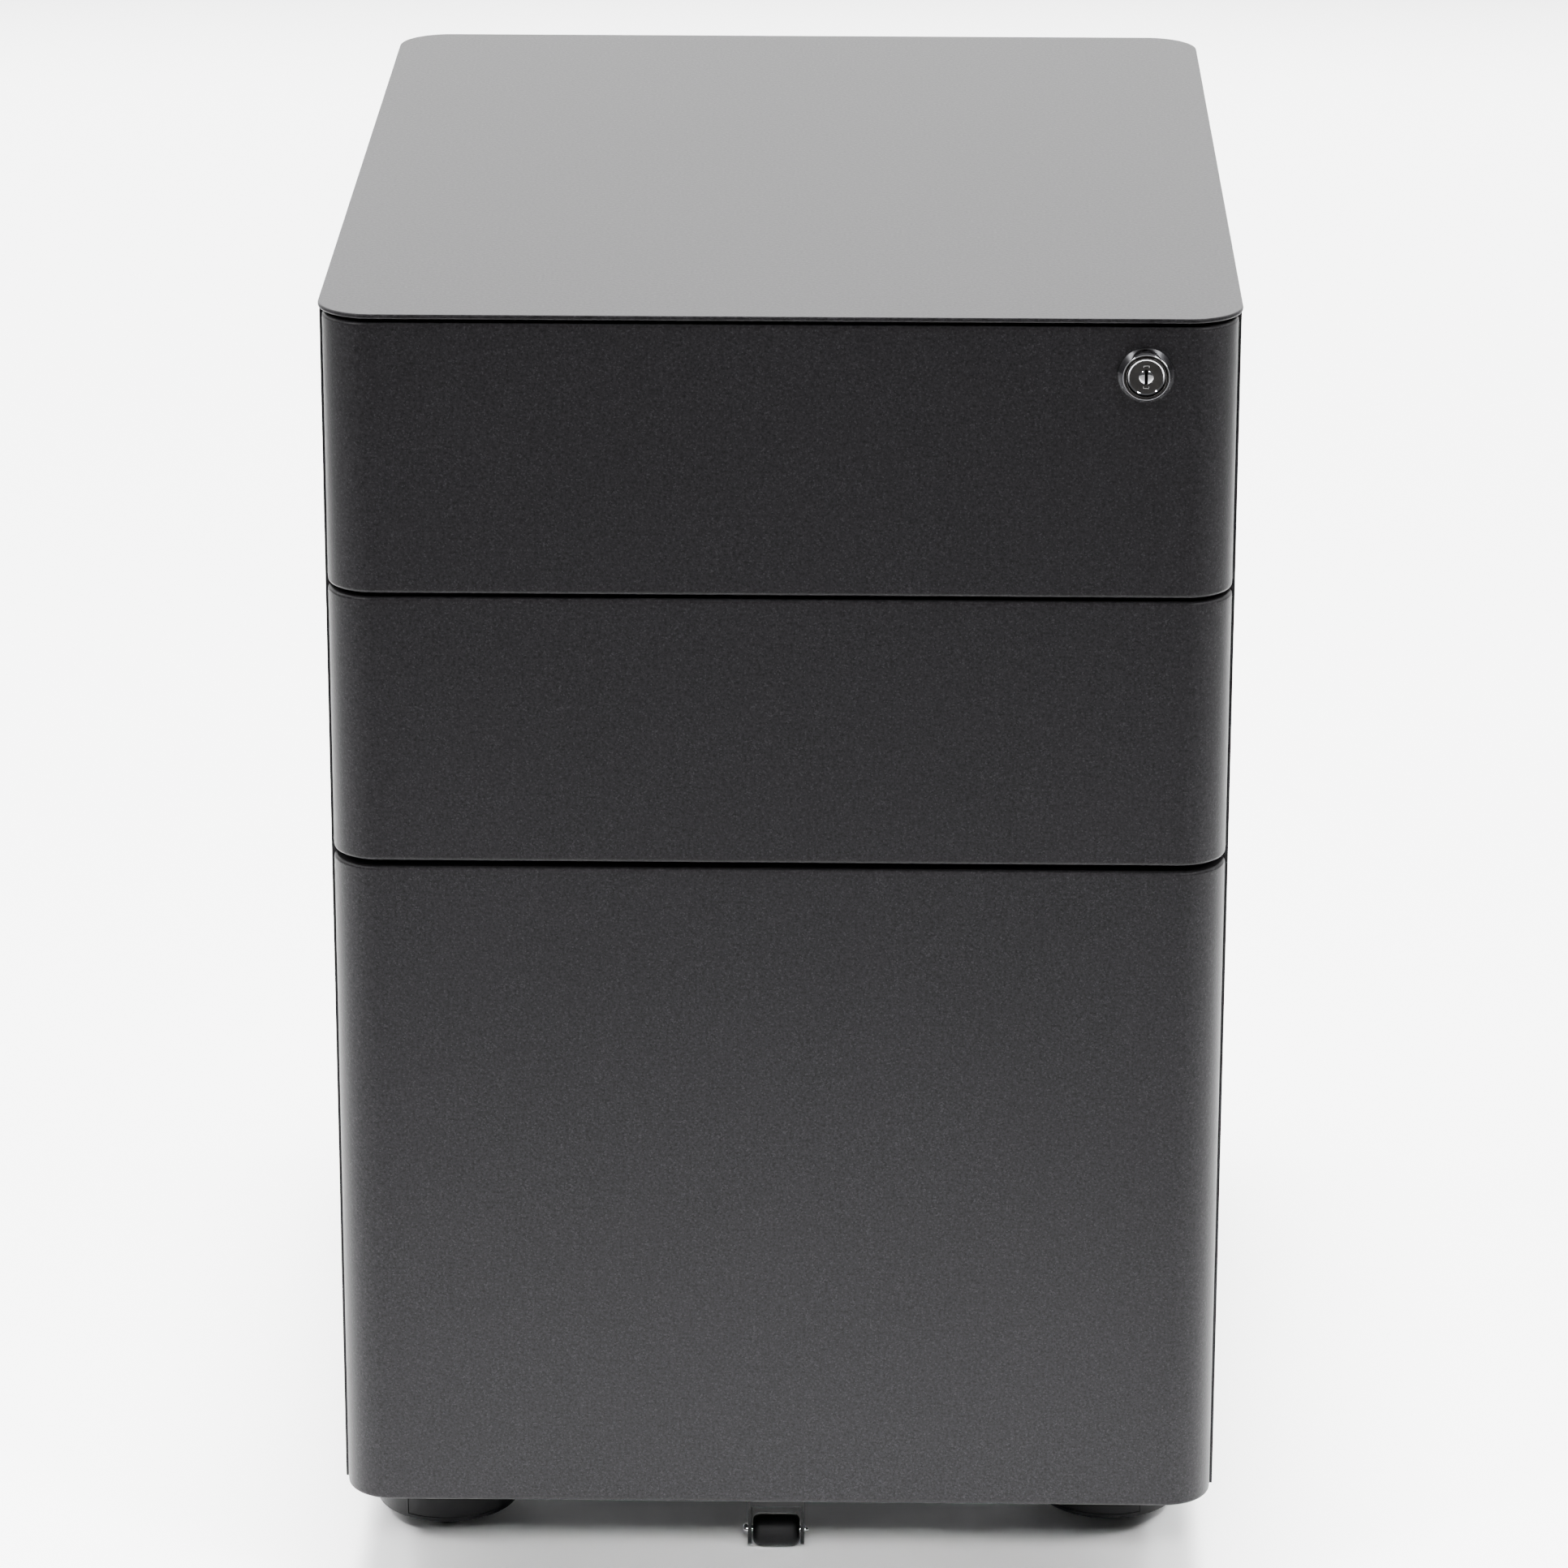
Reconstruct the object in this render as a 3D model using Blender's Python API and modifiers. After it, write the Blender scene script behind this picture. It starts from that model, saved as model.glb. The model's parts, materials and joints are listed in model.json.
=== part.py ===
"""Mobile filing cabinet in sheet steel: two box drawers over a file drawer, on four casters.

Metres, +Z up. X runs across the cabinet, the drawers open towards -Y and the floor is Z = 0.
Each drawer runs on telescopic slides. A cam lock in the top drawer lifts a bar that holds all three.
"""

import math

import bmesh
import bpy
from mathutils import Matrix, Vector

# Overall size
WIDTH = 0.390
DEPTH = 0.520
HEIGHT = 0.600
LOCK_REACH = 0.004  # how far the lock stands in front of the top panel
FRONT_Y = LOCK_REACH - (DEPTH + LOCK_REACH) / 2
BACK_Y = FRONT_Y + DEPTH

# Sheet and clearances
GAP = 0.0003
TOP_THICKNESS = 0.002
BODY_SHEET = 0.0012
DRAWER_SHEET = 0.001
BASE_SHEET = 0.0015
FOLD_RADIUS = 0.0016

# Body
CORNER_RADIUS = 0.024
CORNER_STEPS = 8
BODY_HALF = 0.1945
BODY_FRONT_Y = FRONT_Y + 0.024
BODY_BOTTOM_Z = 0.053
BODY_TOP_Z = HEIGHT - TOP_THICKNESS - GAP
HEM_DEPTH = 0.0034
BACK_PANEL_HALF = 0.150
BASE_FRONT_Y = -0.222
BASE_TOP_Z = 0.0655
BASE_HEIGHT = 0.0125
RAIL_HALF = 0.1925
RAIL_HEIGHT = 0.009
RAIL_DEPTH = 0.027
FRONT_RAIL_Y = BODY_FRONT_Y + BODY_SHEET + GAP
REAR_RAIL_Y = 0.205

# Drawer fronts: bottom and top of each, and the folded shell they share
FACE_Y = FRONT_Y + 0.0008
FRONT_HALF = 0.193
FRONT_RADIUS = 0.0205
SHELL_BACK_Y = -0.2365
INNER_PANEL_HALF = 0.1912
INNER_PANEL_INSET = 0.0016
INNER_PANEL_SHEET = 0.0012
INNER_PANEL_Y = -0.2382

# Drawer trays and the telescopic slides beside them
TRAY_HALF = 0.180
TRAY_FRONT_Y = INNER_PANEL_Y + INNER_PANEL_SHEET + GAP
TRAY_BACK_Y = TRAY_FRONT_Y + 0.460
DRAWERS = {
    "top": {"front": (0.4772, 0.5963), "tray": (0.485, 0.565), "slide_z": 0.520},
    "middle": {"front": (0.3563, 0.4754), "tray": (0.364, 0.444), "slide_z": 0.400},
    "file": {"front": (0.0524, 0.3535), "tray": (0.069, 0.312), "slide_z": 0.200},
}
SLIDE_SHEET = 0.0012
# Each member is (distance of its web from the middle plane, reach of its flanges, half height,
# length of its lips, front end, back end).
SLIDE_MEMBERS = {
    "outer": (0.1924, 0.1838, 0.0174, 0.0034, -0.210, 0.240),
    "middle": (0.1899, 0.1850, 0.0144, 0.0, -0.208, 0.237),
    "inner": (0.1809, 0.1880, 0.0114, 0.0, -0.232, 0.218),
}

# Rails for hanging folders, 330 mm apart
HANGING_HALF = 0.165
HANGING_SHELF_Z = 0.3085
HANGING_LEG = 0.0125
HANGING_UPSTAND = 0.013
HANGING_Y = (-0.228, 0.215)

# Lock: axis position, then the bar that its cam lifts
LOCK_X = 0.1537
LOCK_Z = 0.5757
LOCK_STEPS = 32
LOCK_FRONT_Y = FRONT_Y - LOCK_REACH
BEZEL_RADIUS = 0.012
BARREL_RADIUS = 0.009
BARREL_END_Y = -0.2335
PLUG_RADIUS = 0.0078
PLUG_RECESS = 0.0009
PLUG_END_Y = -0.2318
KEYWAY = (0.0014, 0.0062)
CAM_LENGTH = 0.0245
CAM_HALF = 0.004
CAM_SHEET = 0.0015
BAR_X = (0.1912, 0.1927)
BAR_Y = (-0.2285, -0.2165)
BAR_Z = (0.095, 0.5737)
BAR_LUG_X = 0.1735
HOOK_X = 0.1835
HOOK_THICKNESS = 0.003
HOOK_Z = (0.0168, 0.0255)  # above the middle of the slide
CATCH_X = 0.1885
CATCH_Y = (-0.2155, -0.2095)
CATCH_Z = (0.028, 0.034)  # above the middle of the slide

# Anti-tip roller under the file drawer
ROLLER_X = -0.0018
ROLLER_Y = -0.194
ROLLER_Z = 0.0085
ROLLER_RADIUS = 0.0075
ROLLER_HALF = 0.0107
PIN_RADIUS = 0.002
PIN_HOLE_RADIUS = 0.0023
BRACKET_HALF = 0.0128
BRACKET_SHEET = 0.0016
BRACKET_FOOT_Z = 0.0679
BRACKET_ARM_Z = 0.0440
BRACKET_LEG_Y = -0.2327
BRACKET_FOOT_END_Y = -0.206
CHEEK_Y = (-0.204, -0.184)
CHEEK_BOTTOM_Z = 0.0045
CHEEK_WEB_BOTTOM_Z = 0.0245

# Casters: twin wheels under a round shroud that reaches almost to the floor
WHEEL_RADIUS = 0.0225
WHEEL_STEPS = 24
WHEEL_INNER = 0.0045
WHEEL_OUTER = 0.0190
AXLE_RADIUS = 0.003
AXLE_BORE = 0.0035
TRAIL = 0.016
STEM_RADIUS = 0.004
STEM_BORE = 0.0044
STEM_BOTTOM_Z = 0.0505
MOUNT_RADIUS = 0.019
MOUNT_THICKNESS = 0.002
SHROUD_RADIUS = 0.0325
SHROUD_SHEET = 0.002
SHROUD_Z = (0.0075, 0.049)
SHOULDER_RADIUS = 0.010
WEB_HALF = 0.0040
WEB_LENGTH = 0.050
WEB_BOTTOM_Z = 0.012
NECK_RADIUS = 0.0075
NECK_TOP_Z = 0.0605
CASTERS = {
    "front_left": (-0.1382, -0.1556, 179.3),
    "front_right": (0.1382, -0.1556, 38.7),
    "rear_left": (-0.1382, 0.1860, 158.0),
    "rear_right": (0.1382, 0.1860, 30.0),
}

# Finishes: colour, roughness, metallic
FINISHES = {
    "charcoal_paint": ((0.030, 0.030, 0.032), 0.42, 0.35),
    "zinc_steel": ((0.55, 0.56, 0.57), 0.35, 1.0),
    "chrome": ((0.78, 0.78, 0.80), 0.08, 1.0),
    "black_steel": ((0.012, 0.012, 0.013), 0.45, 0.2),
    "black_nylon": ((0.018, 0.018, 0.019), 0.50, 0.0),
}


# ---------------------------------------------------------------- scene and materials


def clear_scene():
    for item in list(bpy.data.objects):
        bpy.data.objects.remove(item)


def new_collection(name):
    collection = bpy.data.collections.new(name)
    bpy.context.scene.collection.children.link(collection)
    return collection


def finish_material(part_name, finish):
    """Each sub-part has a material of its own, in one of the finishes."""
    colour, roughness, metallic = FINISHES[finish]
    material = bpy.data.materials.new(f"{part_name}_{finish}")
    material.use_nodes = True
    shader = material.node_tree.nodes["Principled BSDF"]
    shader.inputs["Base Color"].default_value = (*colour, 1.0)
    shader.inputs["Roughness"].default_value = roughness
    shader.inputs["Metallic"].default_value = metallic
    return material


# ---------------------------------------------------------------- shapes


def arc(centre, radius, start, end, steps):
    """Points on an arc, with its angles in degrees."""
    angles = [math.radians(start + (end - start) * i / steps) for i in range(steps + 1)]
    return [(centre[0] + radius * math.cos(a), centre[1] + radius * math.sin(a)) for a in angles]


def box_shape(low, high):
    shape = bmesh.new()
    low, high = Vector(low), Vector(high)
    stretch = Matrix.Diagonal((*(high - low), 1.0))
    bmesh.ops.create_cube(shape, size=1.0, matrix=Matrix.Translation((low + high) / 2) @ stretch)
    return shape


def rod_shape(centre, radius, length, axis, steps=24):
    """A cylinder with its middle at centre, along the X, Y or Z axis."""
    turn = {"X": Matrix.Rotation(math.pi / 2, 4, "Y"), "Y": Matrix.Rotation(math.pi / 2, 4, "X")}
    shape = bmesh.new()
    bmesh.ops.create_cone(
        shape,
        cap_ends=True,
        segments=steps,
        radius1=radius,
        radius2=radius,
        depth=length,
        matrix=Matrix.Translation(centre) @ turn.get(axis, Matrix.Identity(4)),
    )
    return shape


def folded_shape(path, low, high, axis):
    """An open surface: a path in the plane across the axis, drawn along it from low to high."""
    along = "XYZ".index(axis)

    def point(pair, height):
        place = list(pair)
        place.insert(along, height)
        return place

    shape = bmesh.new()
    row = [shape.verts.new(point(pair, low)) for pair in path]
    edges = [shape.edges.new(pair) for pair in zip(row, row[1:])]
    drawn = bmesh.ops.extrude_edge_only(shape, edges=edges)
    moved = [item for item in drawn["geom"] if isinstance(item, bmesh.types.BMVert)]
    bmesh.ops.translate(shape, verts=moved, vec=point((0.0, 0.0), high - low))
    return shape


def edges_along(shape, axis, test):
    """The edges parallel to an axis whose middle passes the test."""
    along = "XYZ".index(axis)
    found = []
    for edge in shape.edges:
        run = edge.verts[0].co - edge.verts[1].co
        if abs(run[along]) > 0.999 * run.length and test((edge.verts[0].co + edge.verts[1].co) / 2):
            found.append(edge)
    return found


def round_edges(shape, edges, radius, steps):
    bmesh.ops.bevel(
        shape, geom=edges, offset=radius, segments=steps, profile=0.5, affect="EDGES"
    )


def remove_face(shape, normal):
    """Opens a shape on the side that a normal points to."""
    faces = [face for face in shape.faces if face.normal.dot(Vector(normal)) > 0.999]
    bmesh.ops.delete(shape, geom=faces, context="FACES_ONLY")


# ---------------------------------------------------------------- objects


def add_object(name, shape, finish, parent=None, origin=None):
    """Makes an object of a shape given in its parent's coordinates, with its origin at a point."""
    origin = Vector(origin or (0.0, 0.0, 0.0))
    bmesh.ops.translate(shape, verts=shape.verts, vec=-origin)
    mesh = bpy.data.meshes.new(name)
    shape.to_mesh(mesh)
    shape.free()
    mesh.shade_smooth()
    mesh.set_sharp_from_angle(angle=math.radians(35))
    item = bpy.data.objects.new(name, mesh)
    item.location = origin
    item.parent = parent
    mesh.materials.append(finish_material(name, finish))
    parts.objects.link(item)
    return item


def add_turned(name, profile, steps, finish, parent, location, rotation):
    """A turned piece: (radius, height) points, down the outer side and back up any bore."""
    closed = profile[0][0] > 0
    shape = bmesh.new()
    row = [shape.verts.new((radius, 0.0, height)) for radius, height in profile]
    ends = row[1:] + row[:1] if closed else row[1:]
    for pair in zip(row, ends):
        shape.edges.new(pair)
    item = add_object(name, shape, finish, parent)
    item.location = location
    item.rotation_euler = rotation
    screw = item.modifiers.new("turn", "SCREW")
    screw.axis = "Z"
    screw.angle = 2 * math.pi
    screw.steps = steps
    screw.render_steps = steps
    screw.use_merge_vertices = True
    screw.merge_threshold = 0.00005
    return item


def add_helper(name, shape, parent=None):
    """A hidden mesh that a Boolean adds to or takes from a part."""
    mesh = bpy.data.meshes.new(name)
    shape.to_mesh(mesh)
    shape.free()
    item = bpy.data.objects.new(name, mesh)
    item.parent = parent
    item.hide_render = True
    item.display_type = "WIRE"
    helpers.objects.link(item)
    return item


def thicken(item, sheet, inward=True):
    """Gives a surface its sheet thickness, inside it or, for a folded path, to both sides."""
    modifier = item.modifiers.new("sheet", "SOLIDIFY")
    modifier.thickness = sheet
    modifier.offset = -1.0 if inward else 0.0
    modifier.use_even_offset = True


def combine(item, operation, shape):
    helper = add_helper(f"{item.name}_{operation.lower()}_{len(item.modifiers)}", shape, item.parent)
    modifier = item.modifiers.new(operation.lower(), "BOOLEAN")
    modifier.operation = operation
    modifier.solver = "EXACT"
    modifier.object = helper


def add_frame(name, location, parent=None, turn=0.0):
    """An empty that a moving assembly hangs on, at its joint."""
    frame = bpy.data.objects.new(name, None)
    frame.location = location
    frame.rotation_euler = (0.0, 0.0, math.radians(turn))
    frame.parent = parent
    parts.objects.link(frame)
    return frame


def add_folded(name, path, low, high, axis, sheet, finish, parent=None):
    item = add_object(name, folded_shape(path, low, high, axis), finish, parent)
    thicken(item, sheet, inward=False)
    return item


# ---------------------------------------------------------------- body


def top_panel():
    shape = box_shape(
        (-WIDTH / 2, FRONT_Y, HEIGHT - TOP_THICKNESS), (WIDTH / 2, BACK_Y, HEIGHT)
    )
    round_edges(shape, edges_along(shape, "Z", lambda middle: True), CORNER_RADIUS, CORNER_STEPS)
    rim = [edge for edge in shape.edges if edge.calc_face_angle() > 1.5 and on_rim(edge)]
    round_edges(shape, rim, 0.0006, 2)
    add_object("top_panel", shape, "charcoal_paint", origin=(0.0, 0.0, HEIGHT))


def on_rim(edge):
    """True for an edge between a flat top or bottom and the wall round it."""
    return abs(edge.verts[0].co.z - edge.verts[1].co.z) < 1e-6


def side_panel(name, side):
    """One side with the rear corner folded round it, and a hem down its front edge."""
    web = BODY_HALF - BODY_SHEET / 2
    back = BACK_Y - BODY_SHEET / 2
    hem_y = BODY_FRONT_Y + BODY_SHEET / 2
    centre = (BODY_HALF - CORNER_RADIUS, BACK_Y - CORNER_RADIUS)
    path = [(BODY_HALF - HEM_DEPTH, hem_y), (web, hem_y)]
    path += arc(centre, CORNER_RADIUS - BODY_SHEET / 2, 0, 90, CORNER_STEPS)
    path += [(BACK_PANEL_HALF + GAP, back)]
    path = [(side * x, y) for x, y in path]
    add_folded(name, path, BODY_BOTTOM_Z, BODY_TOP_Z, "Z", BODY_SHEET, "charcoal_paint")


def back_panel():
    low = (-BACK_PANEL_HALF, BACK_Y - BODY_SHEET, BODY_BOTTOM_Z)
    shape = box_shape(low, (BACK_PANEL_HALF, BACK_Y, BODY_TOP_Z))
    add_object("back_panel", shape, "charcoal_paint")


def base_pan():
    """A tray turned upside down, which the casters bolt under."""
    half = BODY_HALF - BODY_SHEET - GAP
    back = BACK_Y - BODY_SHEET - GAP
    shape = box_shape((-half, BASE_FRONT_Y, BASE_TOP_Z - BASE_HEIGHT), (half, back, BASE_TOP_Z))
    rear = edges_along(shape, "Z", lambda middle: middle.y > 0)
    round_edges(shape, rear, CORNER_RADIUS - BODY_SHEET - GAP, CORNER_STEPS)
    remove_face(shape, (0, 0, -1))
    thicken(add_object("base_pan", shape, "charcoal_paint"), BASE_SHEET)


def top_rail(name, front):
    """A channel across the cabinet, under the top panel."""
    top = BODY_TOP_Z - GAP - BODY_SHEET / 2
    low = top - RAIL_HEIGHT
    back = front + RAIL_DEPTH
    path = [(front, low), (front, top), (back, top), (back, low)]
    add_folded(name, path, -RAIL_HALF, RAIL_HALF, "X", BODY_SHEET, "charcoal_paint")


# ---------------------------------------------------------------- drawers and slides


def drawer_front(name, low, high, frame):
    """A pan open at the back: flat face, rounded upright corners, and folds along top and bottom."""
    shape = box_shape((-FRONT_HALF, FACE_Y, low), (FRONT_HALF, SHELL_BACK_Y, high))
    corners = edges_along(shape, "Z", lambda middle: middle.y < FACE_Y + 0.001)
    round_edges(shape, corners, FRONT_RADIUS, CORNER_STEPS)
    remove_face(shape, (0, 1, 0))
    folds = [edge for edge in shape.edges if on_rim(edge) and len(edge.link_faces) == 2]
    round_edges(shape, folds, FOLD_RADIUS, 2)
    item = add_object(name, to_frame(shape, frame), "charcoal_paint", frame)
    thicken(item, DRAWER_SHEET)
    return item


def to_frame(shape, frame):
    """Moves a shape from the cabinet's coordinates to those of an unturned frame."""
    bmesh.ops.translate(shape, verts=shape.verts, vec=-frame.location)
    return shape


def inner_panel(name, low, high, frame):
    shape = box_shape(
        (-INNER_PANEL_HALF, INNER_PANEL_Y, low + INNER_PANEL_INSET),
        (INNER_PANEL_HALF, INNER_PANEL_Y + INNER_PANEL_SHEET, high - INNER_PANEL_INSET),
    )
    return add_object(name, to_frame(shape, frame), "charcoal_paint", frame)


def drawer_tray(name, low, high, slide_z, frame):
    """The folded drawer box, with the catch that the lock bar's hook holds on its right side."""
    shape = box_shape((-TRAY_HALF, TRAY_FRONT_Y, low), (TRAY_HALF, TRAY_BACK_Y, high))
    round_edges(shape, edges_along(shape, "Z", lambda middle: True), FOLD_RADIUS, 2)
    remove_face(shape, (0, 0, 1))
    item = add_object(name, to_frame(shape, frame), "charcoal_paint", frame)
    thicken(item, DRAWER_SHEET)
    catch = box_shape(
        (TRAY_HALF - DRAWER_SHEET / 2, CATCH_Y[0], slide_z + CATCH_Z[0]),
        (CATCH_X, CATCH_Y[1], slide_z + CATCH_Z[1]),
    )
    combine(item, "UNION", to_frame(catch, frame))


def slide_member(name, kind, side, height, frame):
    """One member of a telescopic slide: a channel that faces the next member."""
    web, reach, half, lip, front, back = SLIDE_MEMBERS[kind]
    path = [(reach, -half), (web, -half), (web, half), (reach, half)]
    if lip:
        path = [(reach, lip - half), *path, (reach, half - lip)]
    path = [(side * x, height + z) for x, z in path]
    shape = folded_shape(path, front, back, "Y")
    if frame:
        to_frame(shape, frame)
    item = add_object(name, shape, "zinc_steel", frame)
    thicken(item, SLIDE_SHEET, inward=False)


def slides(drawer, height, drawer_frame):
    middle_frame = add_frame(f"{drawer}_slide_middle_frame", (0.0, SLIDE_MEMBERS["middle"][4], height))
    frames = {"outer": None, "middle": middle_frame, "inner": drawer_frame}
    for kind, frame in frames.items():
        for side_name, side in (("left", -1), ("right", 1)):
            slide_member(f"{drawer}_slide_{kind}_{side_name}", kind, side, height, frame)


def hanging_rail(name, side, frame):
    wall = TRAY_HALF - DRAWER_SHEET - GAP - SLIDE_SHEET / 2
    path = [
        (wall, HANGING_SHELF_Z - HANGING_LEG),
        (wall, HANGING_SHELF_Z),
        (HANGING_HALF, HANGING_SHELF_Z),
        (HANGING_HALF, HANGING_SHELF_Z + HANGING_UPSTAND),
    ]
    shape = folded_shape([(side * x, z) for x, z in path], *HANGING_Y, "Y")
    item = add_object(name, to_frame(shape, frame), "zinc_steel", frame)
    thicken(item, SLIDE_SHEET, inward=False)


def drawers():
    """The three drawers on their slides. Returns the frame of each and the parts of the top one."""
    frames = {}
    pierced = []
    for drawer, sizes in DRAWERS.items():
        low, high = sizes["front"]
        frame = add_frame(f"{drawer}_drawer_frame", (0.0, FACE_Y, sizes["slide_z"]))
        front = drawer_front(f"{drawer}_drawer_front", low, high, frame)
        panel = inner_panel(f"{drawer}_drawer_inner_panel", low, high, frame)
        drawer_tray(f"{drawer}_drawer_tray", *sizes["tray"], sizes["slide_z"], frame)
        slides(drawer, sizes["slide_z"], frame)
        frames[drawer] = frame
        if drawer == "top":
            pierced = [front, panel]
    return frames, pierced


# ---------------------------------------------------------------- lock


def lock(frame, pierced):
    """A cam lock through the front and the inner panel of the top drawer."""
    for item in pierced:
        middle = (LOCK_X, FACE_Y + 0.010, LOCK_Z)
        hole = rod_shape(middle, BARREL_RADIUS + 0.0004, 0.030, "Y", LOCK_STEPS)
        combine(item, "DIFFERENCE", to_frame(hole, frame))
    axis = Vector((LOCK_X, LOCK_FRONT_Y, LOCK_Z))
    forward = (math.pi / 2, 0.0, 0.0)
    lock_housing(frame, axis, forward)
    lock_nut(frame)
    plug_frame = add_frame("lock_plug_frame", axis - frame.location, frame)
    lock_plug(plug_frame, forward)
    lock_cam(plug_frame, axis)


def lock_housing(frame, axis, forward):
    """Conical bezel and barrel, with heights counted back from the front of the lock."""
    flange = LOCK_FRONT_Y - FACE_Y + GAP
    end = LOCK_FRONT_Y - BARREL_END_Y
    bore = PLUG_RADIUS + GAP
    profile = [
        (bore, 0.0),
        (0.0090, 0.0),
        (0.0094, -0.0004),
        (BEZEL_RADIUS - 0.0002, flange + 0.0007),
        (BEZEL_RADIUS, flange + 0.0004),
        (BEZEL_RADIUS, flange),
        (BARREL_RADIUS, flange),
        (BARREL_RADIUS, end),
        (bore, end),
    ]
    add_turned("lock_housing", profile, LOCK_STEPS, "chrome", frame, axis - frame.location, forward)


def lock_nut(frame):
    """Six-sided nut that draws the bezel against the front."""
    front = FACE_Y + DRAWER_SHEET + GAP
    thickness = 0.003
    middle = (LOCK_X, front + thickness / 2, LOCK_Z)
    shape = rod_shape(middle, 0.0135, thickness, "Y", 6)
    item = add_object("lock_nut", to_frame(shape, frame), "zinc_steel", frame)
    hole = rod_shape(middle, BARREL_RADIUS + 0.0003, 0.010, "Y", LOCK_STEPS)
    combine(item, "DIFFERENCE", to_frame(hole, frame))


def lock_plug(plug_frame, forward):
    """The plug that the key turns, with an upright keyway in a small raised boss."""
    end = LOCK_FRONT_Y - PLUG_END_Y
    boss = 0.0034
    profile = [
        (0.0, -0.0005),
        (boss, -0.0005),
        (boss, -PLUG_RECESS),
        (PLUG_RADIUS - 0.0004, -PLUG_RECESS),
        (PLUG_RADIUS, -PLUG_RECESS - 0.0004),
        (PLUG_RADIUS, end),
        (0.0, end),
    ]
    origin = (0.0, 0.0, 0.0)
    item = add_turned("lock_plug", profile, LOCK_STEPS, "chrome", plug_frame, origin, forward)
    half_width, half_height = KEYWAY[0] / 2, KEYWAY[1] / 2
    keyway = box_shape((-half_width, -0.001, -half_height), (half_width, 0.012, half_height))
    combine(item, "DIFFERENCE", keyway)


def lock_cam(plug_frame, axis):
    """Flat cam behind the plug, hanging down when the drawers are free."""
    front = PLUG_END_Y + GAP - axis.y
    shape = box_shape(
        (-CAM_HALF, front, -CAM_LENGTH), (CAM_HALF, front + CAM_SHEET, CAM_HALF)
    )
    round_edges(shape, edges_along(shape, "Y", lambda middle: True), CAM_HALF * 0.9, 4)
    add_object("lock_cam", shape, "zinc_steel", plug_frame)


def lock_bar():
    """Upright bar on the right side. The cam lifts its lug, and its hooks rise before the catches."""
    frame = add_frame("lock_bar_frame", (BAR_X[0], BAR_Y[0], BAR_Z[0]))
    low, high = zip(BAR_X, BAR_Y, BAR_Z)
    item = add_object("lock_bar", to_frame(box_shape(low, high), frame), "zinc_steel", frame)
    lug = box_shape(
        (BAR_LUG_X, FRONT_RAIL_Y, BAR_Z[1] - CAM_SHEET), (sum(BAR_X) / 2, BAR_Y[1], BAR_Z[1])
    )
    combine(item, "UNION", to_frame(lug, frame))
    for sizes in DRAWERS.values():
        middle = sizes["slide_z"]
        hook = box_shape(
            (HOOK_X, BAR_Y[1] - HOOK_THICKNESS, middle + HOOK_Z[0]),
            (sum(BAR_X) / 2, BAR_Y[1], middle + HOOK_Z[1]),
        )
        combine(item, "UNION", to_frame(hook, frame))


# ---------------------------------------------------------------- anti-tip roller


def antitip_bracket(frame):
    """A strap hooked under the drawer and round the base, with two cheeks and a web for the roller."""
    path = [
        (BRACKET_FOOT_END_Y, BRACKET_FOOT_Z),
        (BRACKET_LEG_Y, BRACKET_FOOT_Z),
        (BRACKET_LEG_Y, BRACKET_ARM_Z),
        (CHEEK_Y[1], BRACKET_ARM_Z),
    ]
    left, right = ROLLER_X - BRACKET_HALF, ROLLER_X + BRACKET_HALF
    shape = folded_shape(path, left, right, "X")
    item = add_object("antitip_bracket", to_frame(shape, frame), "black_steel", frame)
    thicken(item, BRACKET_SHEET, inward=False)
    web = box_shape(
        (left, CHEEK_Y[0], CHEEK_WEB_BOTTOM_Z), (right, CHEEK_Y[0] + BRACKET_SHEET, BRACKET_ARM_Z)
    )
    combine(item, "UNION", to_frame(web, frame))
    for low, high in ((left, left + BRACKET_SHEET), (right - BRACKET_SHEET, right)):
        cheek = box_shape((low, CHEEK_Y[0], CHEEK_BOTTOM_Z), (high, CHEEK_Y[1], BRACKET_ARM_Z))
        combine(item, "UNION", to_frame(cheek, frame))
    hole = rod_shape((ROLLER_X, ROLLER_Y, ROLLER_Z), PIN_HOLE_RADIUS, 3 * BRACKET_HALF, "X")
    combine(item, "DIFFERENCE", to_frame(hole, frame))


def antitip_roller(frame):
    """The riveted pin and the roller on it, both turned about X."""
    place = Vector((ROLLER_X, ROLLER_Y, ROLLER_Z)) - frame.location
    across = (0.0, math.pi / 2, 0.0)
    head = BRACKET_HALF + GAP
    pin = [
        (0.0, head + 0.0016),
        (0.0010, head + 0.0016),
        (0.0010, head),
        (PIN_RADIUS, head),
        (PIN_RADIUS, -head),
        (0.0026, -head),
        (0.0026, -head - 0.0016),
        (0.0018, -head - 0.0022),
        (0.0, -head - 0.0022),
    ]
    add_turned("antitip_axle", pin, 24, "zinc_steel", frame, place, across)
    rounding = 0.0035
    start = ROLLER_HALF - rounding
    flank = ROLLER_RADIUS - rounding
    upper = arc((flank, start), rounding, 90, 0, 4)
    lower = arc((flank, -start), rounding, 0, -90, 4)
    profile = [
        (PIN_HOLE_RADIUS, ROLLER_HALF),
        *upper,
        *lower,
        (PIN_HOLE_RADIUS, -ROLLER_HALF),
    ]
    add_turned("antitip_roller", profile, 24, "black_nylon", frame, place, across)


# ---------------------------------------------------------------- casters


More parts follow.
